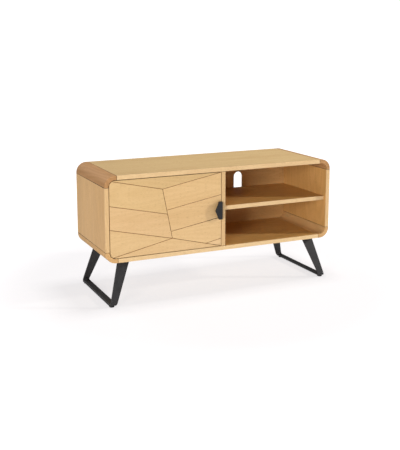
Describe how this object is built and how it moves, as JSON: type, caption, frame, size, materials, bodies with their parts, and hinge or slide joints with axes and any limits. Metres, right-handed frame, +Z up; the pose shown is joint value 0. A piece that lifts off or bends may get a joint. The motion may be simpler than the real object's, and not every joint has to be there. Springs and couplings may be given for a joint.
{
  "type": "tv stand with doors",
  "caption": "Low oak media cabinet with rounded corners, a grooved inset door, open bays round a shelf and splayed black flat-bar leg frames.",
  "frame": {"origin": "on the floor, under the centre of the bounding box", "axes": "+X to the right seen from the front, +Y towards the back, +Z up"},
  "size_m": [1.1, 0.4176, 0.566],
  "materials": {
    "oak_veneer": "satin lacquered oak veneer",
    "oak_lipping": "satin lacquered solid oak edge",
    "oak_post": "satin lacquered solid oak, end grain to the front",
    "oak_door": "satin lacquered oak veneer with cut grooves",
    "oak_back": "satin lacquered oak veneer",
    "beech": "fluted beech dowel",
    "black_steel": "fine textured black powder coat",
    "black_handle": "satin black paint",
    "zinc_steel": "zinc plated",
    "magnet_steel": "ground",
    "black_plastic": "moulded",
    "grey_nylon": "moulded"
  },
  "bodies": {
    "cabinet": {"top_panel": "oak_veneer", "bottom_panel": "oak_veneer", "left_side_panel": "oak_veneer", "right_side_panel": "oak_veneer", "top_left_post": "oak_post", "top_right_post": "oak_post", "bottom_left_post": "oak_post", "bottom_right_post": "oak_post", "centre_divider": "oak_veneer", "shelf": "oak_veneer", "back_panel": "oak_back", "top_lipping": "oak_lipping", "bottom_lipping": "oak_lipping", "left_lipping": "oak_lipping", "right_lipping": "oak_lipping", "divider_lipping": "oak_lipping", "shelf_lipping": "oak_lipping", "corner_dowels": "beech", "divider_dowels": "beech", "shelf_pins": "zinc_steel", "back_panel_screws": "zinc_steel", "upper_pivot_bush": "grey_nylon", "lower_pivot_bush": "grey_nylon", "catch_housing": "black_plastic", "catch_magnet": "magnet_steel", "catch_screws": "zinc_steel", "left_front_leg": "black_steel", "left_back_leg": "black_steel", "left_runner": "black_steel", "left_front_plate": "black_steel", "left_back_plate": "black_steel", "right_front_leg": "black_steel", "right_back_leg": "black_steel", "right_runner": "black_steel", "right_front_plate": "black_steel", "right_back_plate": "black_steel", "leg_inserts": "zinc_steel", "leg_screws": "zinc_steel", "foot_nuts": "black_steel"},
    "door": {"door_panel": "oak_door", "door_handle": "black_handle", "handle_screws": "zinc_steel", "upper_pivot_pin": "zinc_steel", "lower_pivot_pin": "zinc_steel", "strike_plate": "zinc_steel", "strike_screw": "zinc_steel"},
    "front_left_foot": {"front_left_pad": "black_plastic", "front_left_stud": "zinc_steel"},
    "back_left_foot": {"back_left_pad": "black_plastic", "back_left_stud": "zinc_steel"},
    "front_right_foot": {"front_right_pad": "black_plastic", "front_right_stud": "zinc_steel"},
    "back_right_foot": {"back_right_pad": "black_plastic", "back_right_stud": "zinc_steel"}
  },
  "joints": [
    {"name": "door_hinge", "type": "hinge", "parent": "cabinet", "child": "door", "pos_m": [-0.504, -0.18285, 0.38], "axis": [0, 0, -1], "range_deg": [0, 105]},
    {"name": "front_left_foot_travel", "type": "slide", "parent": "cabinet", "child": "front_left_foot", "axis": [0, 0, -1], "range_m": [0, 0.006]},
    {"name": "back_left_foot_travel", "type": "slide", "parent": "cabinet", "child": "back_left_foot", "axis": [0, 0, -1], "range_m": [0, 0.006]},
    {"name": "front_right_foot_travel", "type": "slide", "parent": "cabinet", "child": "front_right_foot", "axis": [0, 0, -1], "range_m": [0, 0.006]},
    {"name": "back_right_foot_travel", "type": "slide", "parent": "cabinet", "child": "back_right_foot", "axis": [0, 0, -1], "range_m": [0, 0.006]}
  ]
}
